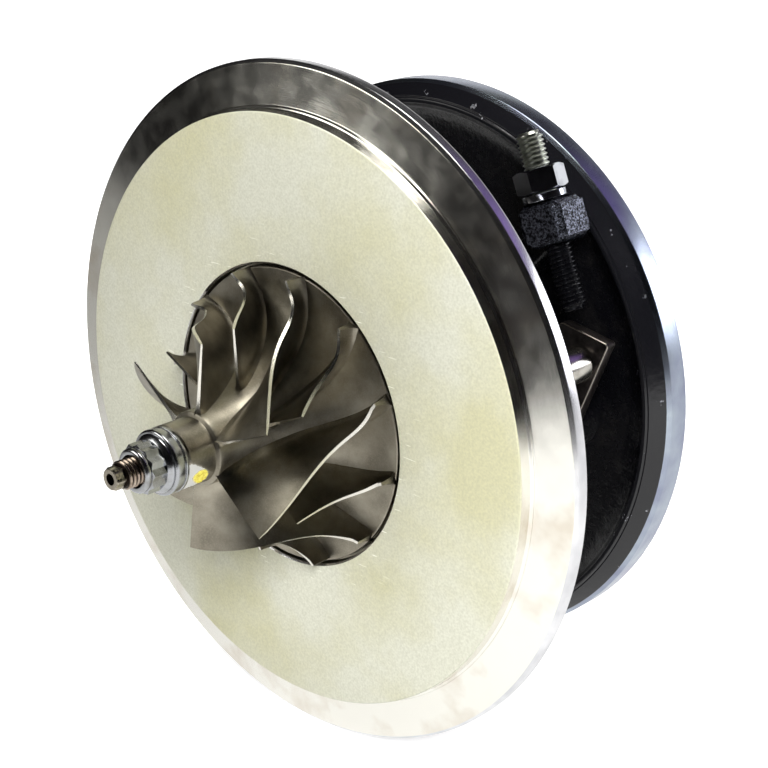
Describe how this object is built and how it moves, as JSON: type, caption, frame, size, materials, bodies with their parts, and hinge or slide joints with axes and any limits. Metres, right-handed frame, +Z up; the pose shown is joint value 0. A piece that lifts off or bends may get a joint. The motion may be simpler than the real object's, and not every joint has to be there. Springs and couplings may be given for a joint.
{
  "type": "turbocharger cartridge",
  "caption": "Centre part of a turbocharger: compressor and turbine wheels on one shaft, bearing housing, backplate and vane lever with its stop screw.",
  "frame": {"origin": "on the shaft axis, in the front plane of the compressor backplate's flange ring", "axes": "-Y runs along the shaft out of the compressor nose, +Y out of the turbine; +Z up, towards the oil inlet"},
  "size_m": [0.16, 0.147, 0.16],
  "materials": {
    "machined_aluminium": "blasted face, polished flange ring",
    "blasted_cast_aluminium": "blasted, with machined blade edges",
    "painted_cast_iron": "gloss black paint, machined rim",
    "nickel_alloy": "as cast",
    "bright_steel": "turned",
    "ring_steel": "ground",
    "spring_steel": "dark, phosphated",
    "bearing_bronze": "turned",
    "sheet_steel": "rolled",
    "seal_rubber": "matt",
    "zinc_plated_steel": "zinc plated",
    "dark_oxide_steel": "dark oxide"
  },
  "bodies": {
    "cartridge": {"bearing_housing": "painted_cast_iron", "compressor_backplate": "machined_aluminium", "heat_shield": "sheet_steel", "backplate_o_ring": "seal_rubber", "backplate_screw_1": "zinc_plated_steel", "backplate_screw_2": "zinc_plated_steel", "backplate_screw_3": "zinc_plated_steel", "backplate_screw_4": "zinc_plated_steel", "snap_ring_1": "spring_steel", "snap_ring_2": "spring_steel", "snap_ring_3": "spring_steel", "snap_ring_4": "spring_steel", "thrust_bearing": "bearing_bronze", "thrust_bearing_pin": "bright_steel", "oil_deflector": "sheet_steel", "compressor_piston_ring": "ring_steel", "turbine_piston_ring": "ring_steel", "stop_screw": "zinc_plated_steel", "stop_screw_nut": "zinc_plated_steel", "stop_screw_washer": "spring_steel", "lever_bush": "bright_steel"},
    "rotor": {"turbine_wheel_and_shaft": "nickel_alloy", "compressor_wheel": "blasted_cast_aluminium", "shaft_nut": "bright_steel", "thrust_collar": "bright_steel", "flinger_sleeve": "bright_steel"},
    "compressor_side_bush": {"journal_bearing_compressor_side": "bearing_bronze"},
    "turbine_side_bush": {"journal_bearing_turbine_side": "bearing_bronze"},
    "lever": {"lever_arm": "dark_oxide_steel", "lever_pin": "bright_steel", "lever_shaft": "dark_oxide_steel"}
  },
  "joints": [
    {"name": "rotor_spin", "type": "hinge", "parent": "cartridge", "child": "rotor", "pos_m": [0, 0, 0], "axis": [0, -1, 0], "continuous": true},
    {"name": "compressor_side_bush_spin", "type": "hinge", "parent": "cartridge", "child": "compressor_side_bush", "pos_m": [0, 0.03075, 0], "axis": [0, -1, 0], "continuous": true},
    {"name": "turbine_side_bush_spin", "type": "hinge", "parent": "cartridge", "child": "turbine_side_bush", "pos_m": [0, 0.04525, 0], "axis": [0, -1, 0], "continuous": true},
    {"name": "lever_swing", "type": "hinge", "parent": "cartridge", "child": "lever", "pos_m": [0.042, 0.0355, -0.002], "axis": [0, -1, 0], "range_deg": [-35, 16]}
  ]
}
